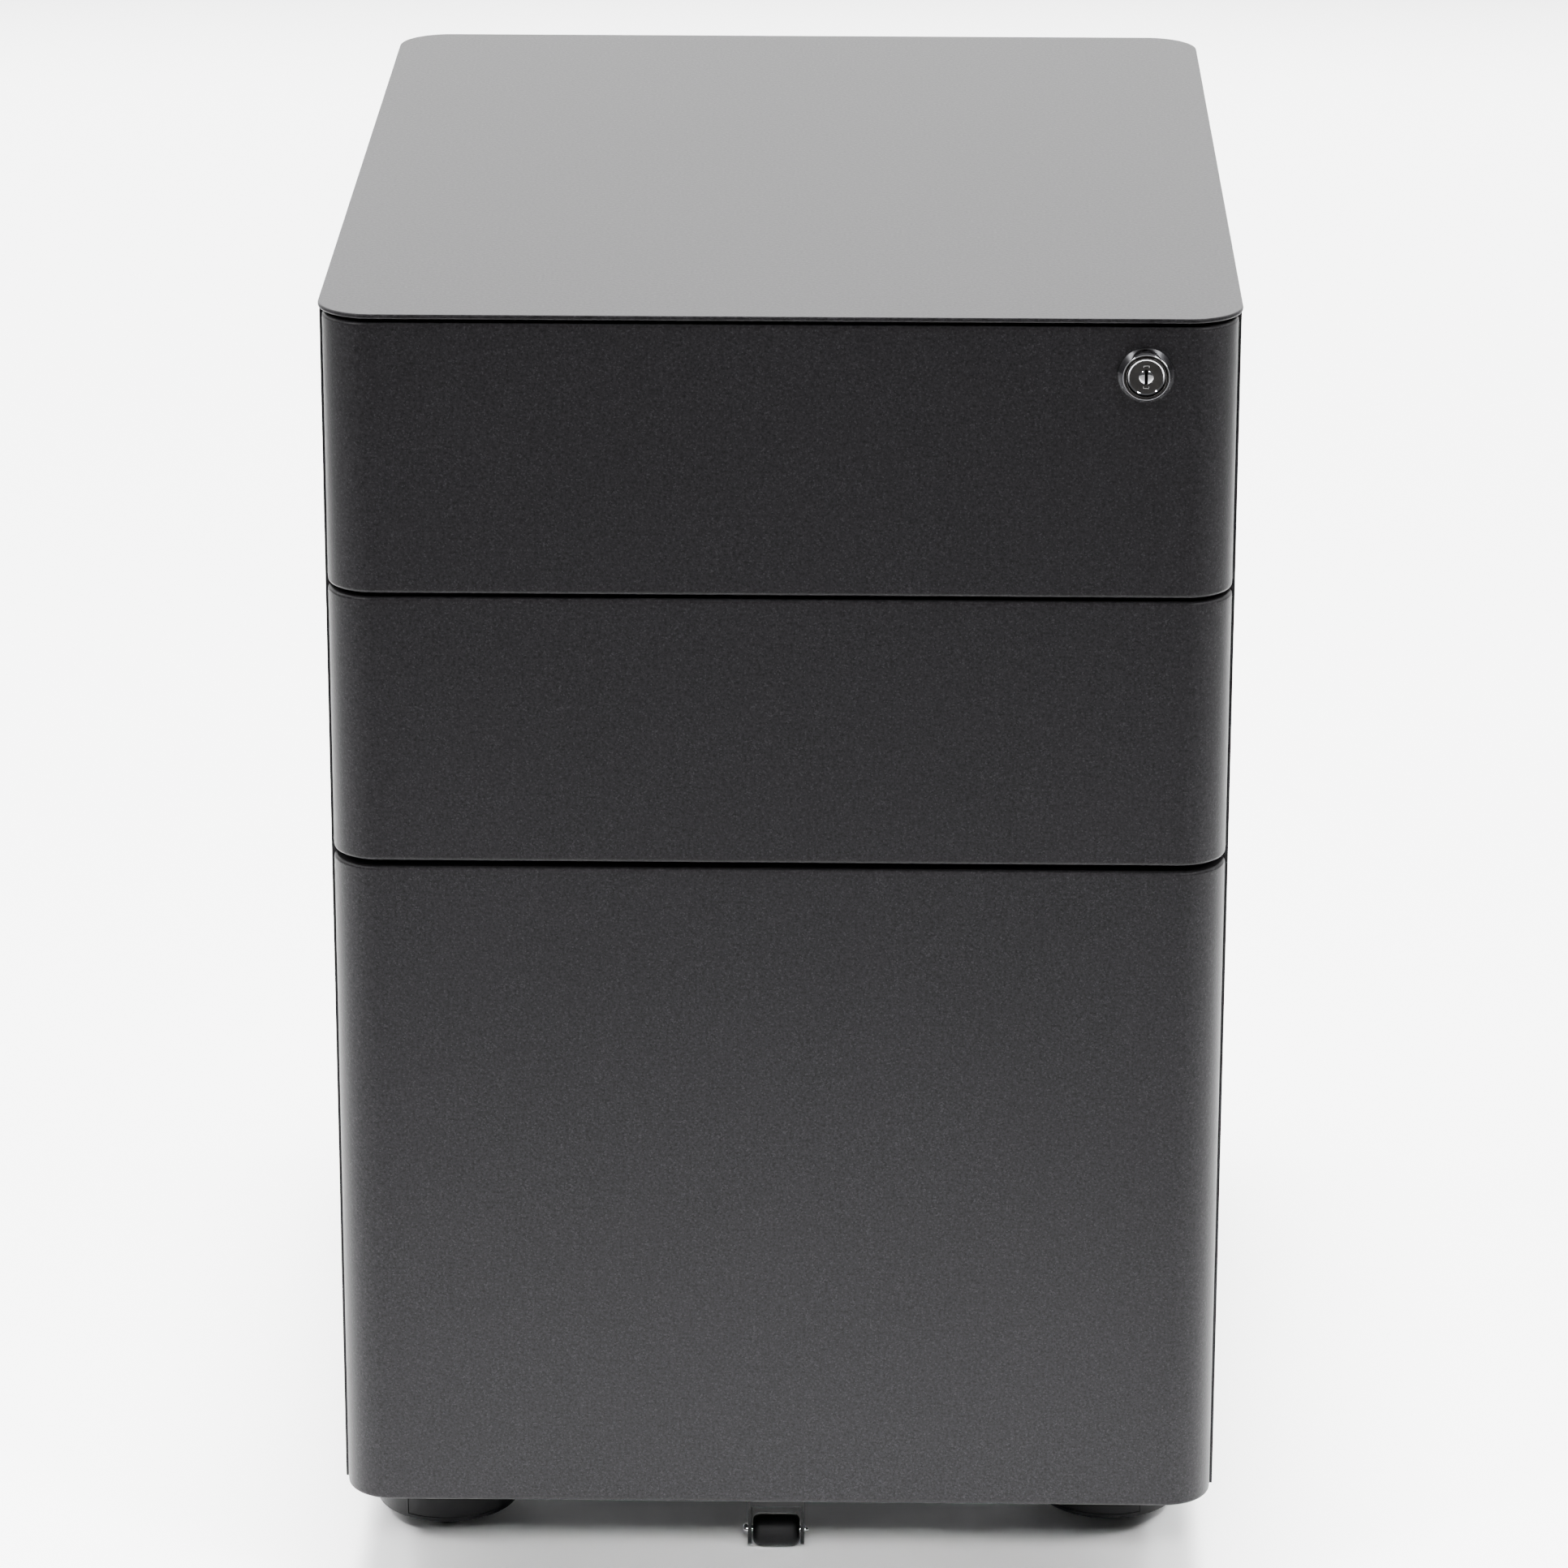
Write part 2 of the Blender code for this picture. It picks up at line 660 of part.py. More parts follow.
def caster_mount(name, swivel):
    """Round plate under the base pan, with the stem that the hood turns on."""
    top = BASE_TOP_Z - BASE_SHEET - GAP
    profile = [
        (0.0, top),
        (MOUNT_RADIUS, top),
        (MOUNT_RADIUS, top - MOUNT_THICKNESS),
        (STEM_RADIUS, top - MOUNT_THICKNESS),
        (STEM_RADIUS, STEM_BOTTOM_Z),
        (0.0, STEM_BOTTOM_Z),
    ]
    add_turned(name, profile, 24, "zinc_steel", swivel, (0.0, 0.0, 0.0), (0.0, 0.0, 0.0))


def caster_hood(name, swivel):
    """Shroud round the wheels, the web between them, the axle pins, and the neck that takes the stem."""
    low, high = SHROUD_Z
    inner = SHROUD_RADIUS - SHROUD_SHEET
    shoulder = high - SHOULDER_RADIUS
    outside = arc((SHROUD_RADIUS - SHOULDER_RADIUS, shoulder), SHOULDER_RADIUS, 90, 0, 5)
    bend = SHOULDER_RADIUS - SHROUD_SHEET
    inside = arc((inner - bend, shoulder), bend, 0, 90, 5)
    top, ceiling = (0.0, high), (0.0, high - SHROUD_SHEET)
    profile = [top, *outside, (SHROUD_RADIUS, low), (inner, low), *inside, ceiling]
    place = (TRAIL, 0.0, 0.0)
    item = add_turned(name, profile, 32, "black_nylon", swivel, place, (0.0, 0.0, 0.0))
    web = box_shape(
        (TRAIL - WEB_LENGTH / 2, -WEB_HALF, WEB_BOTTOM_Z),
        (TRAIL + WEB_LENGTH / 2, WEB_HALF, high - SHROUD_SHEET / 2),
    )
    neck_height = NECK_TOP_Z - high + SHROUD_SHEET / 2
    neck = rod_shape((0.0, 0.0, NECK_TOP_Z - neck_height / 2), NECK_RADIUS, neck_height, "Z")
    axle = rod_shape((TRAIL, 0.0, WHEEL_RADIUS), AXLE_RADIUS, 2 * WHEEL_OUTER - 0.002, "Y", 16)
    bore = rod_shape((0.0, 0.0, STEM_BOTTOM_Z - GAP + 0.015), STEM_BORE, 0.030, "Z")
    for operation, shape in (("UNION", web), ("UNION", neck), ("UNION", axle), ("DIFFERENCE", bore)):
        combine(item, operation, shape)


def caster_wheel(name, side, swivel):
    """One wheel, with a flat of its faceted tread on the floor and its dished face outwards."""
    tread = WHEEL_RADIUS / math.cos(math.pi / WHEEL_STEPS)
    width = WHEEL_OUTER - WHEEL_INNER
    profile = [
        (AXLE_BORE, width - 0.0010),
        (0.0160, width - 0.0010),
        (0.0172, width - 0.0024),
        (0.0186, width - 0.0024),
        (0.0196, width),
        (0.0212, width),
        (tread, width - 0.0018),
        (tread, 0.0014),
        (0.0214, 0.0),
        (AXLE_BORE, 0.0),
    ]
    place = (TRAIL, side * WHEEL_INNER, WHEEL_RADIUS)
    flat_down = Matrix.Rotation(-side * math.pi / 2, 3, "X") @ Matrix.Rotation(
        math.pi / WHEEL_STEPS, 3, "Z"
    )
    turn = flat_down.to_euler()
    add_turned(name, profile, WHEEL_STEPS, "black_nylon", swivel, place, turn)


def casters():
    for corner, (x, y, turn) in CASTERS.items():
        name = f"caster_{corner}"
        swivel = add_frame(f"{name}_swivel_frame", (x, y, 0.0), turn=turn)
        caster_mount(f"{name}_mount", swivel)
        caster_hood(f"{name}_hood", swivel)
        for side_name, side in (("a", 1), ("b", -1)):
            caster_wheel(f"{name}_wheel_{side_name}", side, swivel)


# ---------------------------------------------------------------- the cabinet


def build():
    top_panel()
    side_panel("left_side_panel", -1)
    side_panel("right_side_panel", 1)
    back_panel()
    base_pan()
    top_rail("front_top_rail", FRONT_RAIL_Y + BODY_SHEET / 2)
    top_rail("rear_top_rail", REAR_RAIL_Y)
    frames, pierced = drawers()
    hanging_rail("hanging_rail_left", -1, frames["file"])
    hanging_rail("hanging_rail_right", 1, frames["file"])
    lock(frames["top"], pierced)
    lock_bar()
    antitip_bracket(frames["file"])
    antitip_roller(frames["file"])
    casters()


clear_scene()
parts = new_collection("filing_cabinet")
helpers = new_collection("cutters_and_helpers")
build()
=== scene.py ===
"""Looks for a charcoal steel mobile filing cabinet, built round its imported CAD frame.

Metres and degrees, +Z up. The drawers open towards -Y. Outer sizes and places come from the boxes
of the CAD nodes. Details finer than those boxes are named at the head of each section.
"""

import json
import math

import bmesh
import bpy
from mathutils import Matrix, Vector

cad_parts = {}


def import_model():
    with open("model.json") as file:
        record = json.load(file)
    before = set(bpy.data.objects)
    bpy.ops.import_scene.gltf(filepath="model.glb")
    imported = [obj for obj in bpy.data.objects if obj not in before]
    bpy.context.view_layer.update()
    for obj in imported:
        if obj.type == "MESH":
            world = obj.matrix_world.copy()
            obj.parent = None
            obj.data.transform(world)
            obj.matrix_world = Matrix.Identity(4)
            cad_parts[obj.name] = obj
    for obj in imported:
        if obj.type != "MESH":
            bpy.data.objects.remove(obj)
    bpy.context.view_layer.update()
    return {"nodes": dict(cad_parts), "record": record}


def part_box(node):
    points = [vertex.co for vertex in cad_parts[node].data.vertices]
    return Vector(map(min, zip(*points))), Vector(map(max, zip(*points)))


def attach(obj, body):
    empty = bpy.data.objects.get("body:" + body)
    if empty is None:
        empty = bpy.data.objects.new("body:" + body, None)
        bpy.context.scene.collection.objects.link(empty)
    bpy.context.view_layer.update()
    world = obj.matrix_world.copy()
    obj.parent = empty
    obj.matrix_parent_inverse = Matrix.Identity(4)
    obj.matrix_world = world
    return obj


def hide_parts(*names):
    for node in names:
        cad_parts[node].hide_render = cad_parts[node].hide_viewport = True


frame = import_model()

DRAWERS = ("top", "middle", "file")
TINY = 1e-6
NEAR = 0.001  # how far from a face an edge may lie and still belong to it
PARALLEL = 0.999  # cosine above which two directions count as one
GAP = 0.0003  # clearance between pieces that would otherwise touch
SMOOTH_ANGLE = 38.0  # faces meeting at less than this shade as one surface
SOFTEN_ANGLE = 40.0  # edges sharper than this are rounded


# ---------------------------------------------------------------- shapes


def arc(centre, radius, start, end, steps):
    """Points on an arc, with its angles in degrees."""
    angles = [math.radians(start + (end - start) * i / steps) for i in range(steps + 1)]
    return [(centre[0] + radius * math.cos(a), centre[1] + radius * math.sin(a)) for a in angles]


def circle(steps):
    """The cosine and sine of each step round a full turn."""
    angles = [2 * math.pi * i / steps for i in range(steps)]
    return [(math.cos(a), math.sin(a)) for a in angles]


def bridge(shape, first, second):
    """A strip of faces between two rings of vertices, either of which may be one vertex."""
    steps = max(len(first), len(second))
    for i in range(steps):
        j = (i + 1) % steps
        order = ((first, i), (first, j), (second, j), (second, i))
        corners = [ring[k % len(ring)] for ring, k in order]
        shape.faces.new(list(dict.fromkeys(corners)))


def box_shape(low, high):
    shape = bmesh.new()
    low, high = Vector(low), Vector(high)
    stretch = Matrix.Diagonal((*(high - low), 1.0))
    bmesh.ops.create_cube(shape, size=1.0, matrix=Matrix.Translation((low + high) / 2) @ stretch)
    return shape


def rod_shape(centre, radius, length, axis, steps=48):
    """A cylinder with its middle at centre, along the Y or Z axis."""
    turn = Matrix.Rotation(math.pi / 2, 4, "X") if axis == "Y" else Matrix.Identity(4)
    shape = bmesh.new()
    bmesh.ops.create_cone(
        shape,
        cap_ends=True,
        segments=steps,
        radius1=radius,
        radius2=radius,
        depth=length,
        matrix=Matrix.Translation(centre) @ turn,
    )
    return shape


def folded_shape(path, low, high, axis):
    """An open surface: a path in the plane across the axis, drawn along it from low to high."""
    along = "XYZ".index(axis)

    def point(pair, height):
        place = list(pair)
        place.insert(along, height)
        return place

    shape = bmesh.new()
    row = [shape.verts.new(point(pair, low)) for pair in path]
    edges = [shape.edges.new(pair) for pair in zip(row, row[1:])]
    drawn = bmesh.ops.extrude_edge_only(shape, edges=edges)
    moved = [item for item in drawn["geom"] if isinstance(item, bmesh.types.BMVert)]
    bmesh.ops.translate(shape, verts=moved, vec=point((0.0, 0.0), high - low))
    return shape


def rounded_path(points, radius, steps):
    """A path whose inner corners are replaced by arcs of a radius."""
    made = [points[0]]
    for before, corner, after in zip(points, points[1:], points[2:]):
        corner = Vector(corner)
        away = (Vector(before) - corner).normalized()
        onward = (Vector(after) - corner).normalized()
        half = away.angle(onward) / 2
        reach = radius / math.tan(half)
        centre = corner + (away + onward).normalized() * (radius / math.sin(half))
        start, end = corner + away * reach - centre, corner + onward * reach - centre
        turn = start.angle_signed(end)
        for i in range(steps + 1):
            spot = Vector(start)
            spot.rotate(Matrix.Rotation(-turn * i / steps, 2))
            made.append(tuple(centre + spot))
    made.append(points[-1])
    return made


def turned_shape(profile, steps, place=Matrix.Identity(4)):
    """A turned solid from (radius, height) points, down the outer side and back up any bore."""
    shape = bmesh.new()
    rings = []
    for radius, height in profile:
        spots = circle(steps) if radius > TINY else [(0.0, 0.0)]
        rings.append([shape.verts.new((radius * c, radius * s, height)) for c, s in spots])
    if len(rings[0]) > 1:
        rings.append(rings[0])
    for first, second in zip(rings, rings[1:]):
        bridge(shape, first, second)
    bmesh.ops.recalc_face_normals(shape, faces=shape.faces)
    bmesh.ops.transform(shape, matrix=place, verts=shape.verts)
    return shape


def tube_shape(points, radius, sides, closed=False):
    """A round bar along points."""
    shape = bmesh.new()
    count = len(points)
    rings = []
    for i, point in enumerate(points):
        point = Vector(point)
        before = Vector(points[i - 1] if closed or i else points[i])
        after = Vector(points[(i + 1) % count] if closed or i < count - 1 else points[i])
        along = (after - before).normalized()
        side = along.cross(Vector((0, 0, 1)))
        side = side.normalized() if side.length > TINY else Vector((1, 0, 0))
        up = side.cross(along)
        spots = [point + radius * (c * side + s * up) for c, s in circle(sides)]
        rings.append([shape.verts.new(spot) for spot in spots])
    if closed:
        rings.append(rings[0])
    for first, second in zip(rings, rings[1:]):
        bridge(shape, first, second)
    if not closed:
        shape.faces.new(list(reversed(rings[0])))
        shape.faces.new(rings[-1])
    bmesh.ops.recalc_face_normals(shape, faces=shape.faces)
    return shape


def ring_sector(inner, outer, low, high, start, end, steps=48):
    """Part of a flat ring, between two angles in degrees."""
    shape = bmesh.new()
    rings = []
    for i in range(steps + 1):
        a = math.radians(start + (end - start) * i / steps)
        corners = ((inner, low), (outer, low), (outer, high), (inner, high))
        rings.append([shape.verts.new((r * math.cos(a), r * math.sin(a), z)) for r, z in corners])
    for first, second in zip(rings, rings[1:]):
        bridge(shape, first, second)
    shape.faces.new(rings[0])
    shape.faces.new(list(reversed(rings[-1])))
    bmesh.ops.recalc_face_normals(shape, faces=shape.faces)
    return shape


def join_shapes(shapes):
    """One shape that holds several separate ones."""
    whole = bmesh.new()
    for shape in shapes:
        mesh = bpy.data.meshes.new("loose")
        shape.to_mesh(mesh)
        shape.free()
        whole.from_mesh(mesh)
        bpy.data.meshes.remove(mesh)
    return whole


def edges_along(shape, axis, test):
    """The edges parallel to an axis whose middle passes the test."""
    along = "XYZ".index(axis)
    found = []
    for edge in shape.edges:
        run = edge.verts[0].co - edge.verts[1].co
        middle = (edge.verts[0].co + edge.verts[1].co) / 2
        if abs(run[along]) > PARALLEL * run.length and test(middle):
            found.append(edge)
    return found


def on_rim(edge):
    """Whether an edge is level."""
    return abs(edge.verts[0].co.z - edge.verts[1].co.z) < TINY


def round_edges(shape, edges, radius, steps):
    bmesh.ops.bevel(shape, geom=edges, offset=radius, segments=steps, profile=0.5, affect="EDGES")


def remove_face(shape, normal):
    faces = [face for face in shape.faces if face.normal.dot(Vector(normal)) > PARALLEL]
    bmesh.ops.delete(shape, geom=faces, context="FACES_ONLY")


# ---------------------------------------------------------------- pieces


def new_item(name, shape):
    mesh = bpy.data.meshes.new(name)
    shape.to_mesh(mesh)
    shape.free()
    item = bpy.data.objects.new(name, mesh)
    bpy.context.scene.collection.objects.link(item)
    return item


def thicken(item, sheet, inward=True):
    """Gives a surface the thickness of its sheet, behind it or to both sides of it."""
    modifier = item.modifiers.new("sheet", "SOLIDIFY")
    modifier.thickness = sheet
    modifier.offset = -1.0 if inward else 0.0
    modifier.use_even_offset = True


def soften(item, width):
    """Rounds the sharp edges."""
    modifier = item.modifiers.new("soften", "BEVEL")
    modifier.width = width
    modifier.segments = 2
    modifier.limit_method = "ANGLE"
    modifier.angle_limit = math.radians(SOFTEN_ANGLE)


def combine(item, operation, shape):
    """Joins a shape to an item or cuts it away. The helper object goes when the item is baked."""
    helper = new_item(f"{item.name}_helper", shape)
    modifier = item.modifiers.new(operation.lower(), "BOOLEAN")
    modifier.operation = operation
    modifier.solver = "EXACT"
    modifier.object = helper


def bake(item):
    """Puts the mesh that an item's modifiers make in the place of its own."""
    bpy.context.view_layer.update()
    graph = bpy.context.evaluated_depsgraph_get()
    made = bpy.data.meshes.new_from_object(item.evaluated_get(graph), depsgraph=graph)
    helpers = [modifier.object for modifier in item.modifiers if modifier.type == "BOOLEAN"]
    item.modifiers.clear()
    old, item.data = item.data, made
    bpy.data.meshes.remove(old)
    made.name = item.name
    for helper in helpers:
        bpy.data.objects.remove(helper)


def finish_piece(item, material, body, slot, *replaced):
    """Bakes and shades an item, and puts it on its body in place of the CAD nodes it replaces."""
    bake(item)
    item.data.shade_smooth()
    item.data.set_sharp_from_angle(angle=math.radians(SMOOTH_ANGLE))
    weigh = item.modifiers.new("normals", "WEIGHTED_NORMAL")
    weigh.keep_sharp = True
    bake(item)
    item.data.materials.clear()
    item.data.materials.append(material)
    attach(item, body)
    if replaced:
        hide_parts(*replaced)
    return item


def add_piece(name, shape, material, body, slot, *replaced):
    return finish_piece(new_item(name, shape), material, body, slot, *replaced)


# ---------------------------------------------------------------- material helpers

MIX_A, MIX_B, MIX_RESULT = 6, 7, 2  # the colour sockets of a Mix node


def new_material(name):
    material = bpy.data.materials.new(name)
    material.use_nodes = True
    tree = material.node_tree
    return material, tree, tree.nodes["Principled BSDF"]


def link(tree, source, output, target, value):
    tree.links.new(source.outputs[output], target.inputs[value])


def object_noise(tree, scale, detail, roughness, stretch=None):
    place = tree.nodes.new("ShaderNodeTexCoord")
    noise = tree.nodes.new("ShaderNodeTexNoise")
    noise.inputs["Scale"].default_value = scale
    noise.inputs["Detail"].default_value = detail
    noise.inputs["Roughness"].default_value = roughness
    if stretch:
        mapping = tree.nodes.new("ShaderNodeMapping")
        mapping.inputs["Scale"].default_value = stretch
        link(tree, place, "Object", mapping, "Vector")
        link(tree, mapping, "Vector", noise, "Vector")
    else:
        link(tree, place, "Object", noise, "Vector")
    return noise


def ramp(tree, source, output, stops):
    """A colour ramp from (position, grey or colour) stops."""
    node = tree.nodes.new("ShaderNodeValToRGB")
    while len(node.color_ramp.elements) < len(stops):
        node.color_ramp.elements.new(0.5)
    for element, (position, colour) in zip(node.color_ramp.elements, stops):
        if isinstance(colour, float):
            colour = (colour, colour, colour)
        element.position = position
        element.color = (*colour, 1.0)
    link(tree, source, output, node, "Fac")
    return node


def drive(tree, noise, stops, shader, socket):
    """Steers a shader socket by a noise, through a ramp."""
    link(tree, ramp(tree, noise, "Fac", stops), "Color", shader, socket)


def mix(tree, blend):
    node = tree.nodes.new("ShaderNodeMix")
    node.data_type = "RGBA"
    node.blend_type = blend
    node.inputs["Factor"].default_value = 1.0
    return node


def bump(tree, shader, noise, strength, distance):
    node = tree.nodes.new("ShaderNodeBump")
    node.inputs["Strength"].default_value = strength
    node.inputs["Distance"].default_value = distance
    link(tree, noise, "Fac", node, "Height")
    link(tree, node, "Normal", shader, "Normal")


def shaded(colour, factor):
    return tuple(value * factor for value in colour)


# ---------------------------------------------------------------- materials

FLECK_SCALE = 1900.0
FLECK_BRIGHTNESS = 7.0
LOW_SPECULAR = 0.14


def powder_coat(name, base, rough, contrast):
    """Satin powder coat: fine mottling, faint mica flecks, broad tone drift, light orange peel."""
    material, tree, shader = new_material(name)
    grain = object_noise(tree, scale=820.0, detail=2.5, roughness=0.65)
    dark, light = shaded(base, 1.0 - 0.65 * contrast), shaded(base, 1.0 + 1.7 * contrast)
    tone = ramp(tree, grain, "Fac", [(0.32, dark), (0.68, light)])
    place = tree.nodes.new("ShaderNodeTexCoord")
    cells = tree.nodes.new("ShaderNodeTexVoronoi")
    cells.inputs["Scale"].default_value = FLECK_SCALE
    link(tree, place, "Object", cells, "Vector")
    split = tree.nodes.new("ShaderNodeSeparateColor")
    link(tree, cells, "Color", split, "Color")
    flecks = ramp(tree, split, "Red", [(0.86, 0.0), (0.99, 0.42)])
    mica = mix(tree, "MIX")
    link(tree, flecks, "Color", mica, "Factor")
    link(tree, tone, "Color", mica, MIX_A)
    mica.inputs[MIX_B].default_value = (*shaded(base, FLECK_BRIGHTNESS), 1.0)
    clouds = object_noise(tree, scale=7.0, detail=3.0, roughness=0.5)
    drift = ramp(tree, clouds, "Fac", [(0.30, 0.90), (0.70, 1.0)])
    blend = mix(tree, "MULTIPLY")
    link(tree, mica, MIX_RESULT, blend, MIX_A)
    link(tree, drift, "Color", blend, MIX_B)
    link(tree, blend, MIX_RESULT, shader, "Base Color")
    drive(tree, grain, [(0.25, rough - 0.05), (0.75, rough + 0.06)], shader, "Roughness")
    shader.inputs["Metallic"].default_value = 0.2
    shader.inputs["Specular IOR Level"].default_value = LOW_SPECULAR
    peel = object_noise(tree, scale=700.0, detail=2.0, roughness=0.6)
    bump(tree, shader, peel, strength=0.42, distance=0.00015)
    return material


def zinc_plate():
    """Passivated zinc: fine rolling streaks, cloudy tone and a slight warm bloom."""
    material, tree, shader = new_material("zinc_plate")
    clouds = object_noise(tree, scale=38.0, detail=4.0, roughness=0.6)
    dark, middle, warm = (0.36, 0.37, 0.38), (0.48, 0.49, 0.50), (0.55, 0.54, 0.52)
    tone = ramp(tree, clouds, "Fac", [(0.30, dark), (0.55, middle), (0.75, warm)])
    streaks = object_noise(tree, scale=900.0, detail=2.0, roughness=0.5, stretch=(1.0, 0.03, 1.0))
    line = ramp(tree, streaks, "Fac", [(0.30, 0.86), (0.70, 1.0)])
    blend = mix(tree, "MULTIPLY")
    link(tree, tone, "Color", blend, MIX_A)
    link(tree, line, "Color", blend, MIX_B)
    link(tree, blend, MIX_RESULT, shader, "Base Color")
    drive(tree, streaks, [(0.25, 0.26), (0.75, 0.40)], shader, "Roughness")
    shader.inputs["Metallic"].default_value = 1.0
    bump(tree, shader, streaks, strength=0.10, distance=0.00005)
    return material


def polished_metal(name, bright, dull, rough):
    """Bright plating with faint wiping marks."""
    material, tree, shader = new_material(name)
    haze = object_noise(tree, scale=160.0, detail=3.0, roughness=0.6)
    drive(tree, haze, [(0.30, dull), (0.65, bright)], shader, "Base Color")
    drive(tree, haze, [(0.30, rough + 0.05), (0.70, rough)], shader, "Roughness")
    shader.inputs["Metallic"].default_value = 1.0
    marks = object_noise(tree, scale=2600.0, detail=2.0, roughness=0.5, stretch=(1.0, 1.0, 0.2))
    bump(tree, shader, marks, strength=0.02, distance=0.00001)
    return material


def black_paint():
    """Semi-gloss black over pressed steel, rubbed slightly paler in patches."""
    material, tree, shader = new_material("black_steel_paint")
    patches = object_noise(tree, scale=190.0, detail=4.0, roughness=0.65)
    dark, middle = (0.0030, 0.0030, 0.0033), (0.0052, 0.0052, 0.0055)
    rubbed = (0.011, 0.011, 0.0115)
    drive(tree, patches, [(0.35, dark), (0.62, middle), (0.80, rubbed)], shader, "Base Color")
    drive(tree, patches, [(0.30, 0.30), (0.75, 0.46)], shader, "Roughness")
    shader.inputs["Specular IOR Level"].default_value = 0.18
    ripple = object_noise(tree, scale=700.0, detail=2.0, roughness=0.5)
    bump(tree, shader, ripple, strength=0.20, distance=0.0001)
    return material


def black_nylon(name, base, rough):
    """Moulded nylon: spark-eroded grain, with paler scuffs where it rubs."""
    material, tree, shader = new_material(name)
    scuff = object_noise(tree, scale=95.0, detail=5.0, roughness=0.7)
    stops = [(0.30, shaded(base, 0.8)), (0.60, base), (0.78, shaded(base, 1.9))]
    drive(tree, scuff, stops, shader, "Base Color")
    grain = object_noise(tree, scale=1700.0, detail=2.0, roughness=0.6)
    drive(tree, grain, [(0.30, rough - 0.06), (0.70, rough + 0.08)], shader, "Roughness")
    shader.inputs["Specular IOR Level"].default_value = LOW_SPECULAR
    bump(tree, shader, grain, strength=0.30, distance=0.00008)
    return material


CHARCOAL = powder_coat("charcoal_powder_coat", (0.0047, 0.0044, 0.0049), 0.44, 0.85)
INNER = powder_coat("inner_powder_coat", (0.011, 0.011, 0.012), 0.48, 0.35)
ZINC = zinc_plate()
CHROME = polished_metal("chrome_plating", (0.62, 0.62, 0.64), (0.58, 0.58, 0.61), 0.05)
# A dark copy of the chrome: chrome painted dark, a painted dark reflection on the lock's inner lip
# and plug.
PAINTED_DARK_CHROME = polished_metal("chrome_painted_dark", (0.060, 0.057, 0.055), (0.042, 0.040, 0.039), 0.16)
BLACK_PAINT = black_paint()
HOOD_NYLON = black_nylon("hood_nylon", (0.0035, 0.0035, 0.0038), 0.40)
WHEEL_NYLON = black_nylon("wheel_nylon", (0.0050, 0.0050, 0.0053), 0.48)

SLOT_LOOKS = {
    "charcoal_paint": CHARCOAL,
    "inner_paint": INNER,
    "zinc_steel": ZINC,
    "chrome": CHROME,
    "black_steel": BLACK_PAINT,
    "black_nylon": HOOD_NYLON,
}


def dress_frame():
    """Gives every CAD node the look of its slot in the record."""
    for part in frame["record"]["subparts"]:
        materials = frame["nodes"][part["node"]].data.materials
        materials.clear()
        materials.append(SLOT_LOOKS[part["material_slot"]])


# ---------------------------------------------------------------- body

CORNER_RADIUS = 0.024  # of the top panel and of the body's rear corners
CORNER_STEPS = 24
TOP_RIM = 0.0007
BODY_SHEET = 0.0012
HEM_TURN = 0.0034  # how far in the front hem of a side reaches
BACK_SHEET = 0.0008
BACK_DEPTH = 0.0007  # of the back plate below the rear folds
RIVET_ROWS = 5
RIVET_INSET = 0.008
RIVET_END = 0.022
RIVET_DOME = [
    (0.0, 0.0006),
    (0.0009, 0.00056),
    (0.0017, 0.00042),
    (0.0023, 0.00020),
    (0.0026, 0.0),
    (0.0026, -0.0004),
    (0.0, -0.0004),
]


def top_panel():
    low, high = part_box("top_panel")
    shape = box_shape(low, high)
    round_edges(shape, edges_along(shape, "Z", lambda middle: True), CORNER_RADIUS, CORNER_STEPS)
    round_edges(shape, [edge for edge in shape.edges if on_rim(edge)], TOP_RIM, 4)
    add_piece("top_plate", shape, CHARCOAL, "root", "charcoal_paint", "top_panel")


def side_panel(name, side):
    """A side with its rear corner rolled round and a hem down its front edge."""
    low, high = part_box(name)
    half = max(abs(low.x), abs(high.x))
    inner = min(abs(low.x), abs(high.x))
    web = half - BODY_SHEET / 2
    back = high.y - BODY_SHEET / 2
    front = low.y + BODY_SHEET / 2
    centre = (half - CORNER_RADIUS, high.y - CORNER_RADIUS)
    path = [(half - HEM_TURN, front), (web, front)]
    path += arc(centre, CORNER_RADIUS - BODY_SHEET / 2, 0, 90, CORNER_STEPS)
    path += [(inner, back)]
    skin = folded_shape([(side * x, y) for x, y in path], low.z, high.z, "Z")
    item = new_item(f"{name}_skin", skin)
    thicken(item, BODY_SHEET, inward=False)
    soften(item, 0.0003)
    finish_piece(item, CHARCOAL, "root", "charcoal_paint", name)


def back_panel():
    """A plate set just below the rear folds, held by small rivets."""
    low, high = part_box("back_panel")
    face = high.y - BACK_DEPTH
    plate = box_shape((low.x, face - BACK_SHEET, low.z), (high.x, face, high.z))
    item = new_item("back_plate", plate)
    soften(item, 0.0002)
    finish_piece(item, CHARCOAL, "root", "charcoal_paint", "back_panel")
    run = high.z - low.z - 2 * RIVET_END
    rows = [low.z + RIVET_END + run * i / (RIVET_ROWS - 1) for i in range(RIVET_ROWS)]
    forward = Matrix.Rotation(-math.pi / 2, 4, "X")
    places = [(side * (high.x - RIVET_INSET), face, z) for side in (-1, 1) for z in rows]
    rivets = [turned_shape(RIVET_DOME, 32, Matrix.Translation(p) @ forward) for p in places]
    add_piece("back_rivets", join_shapes(rivets), CHARCOAL, "root", "charcoal_paint")


# ---------------------------------------------------------------- drawers

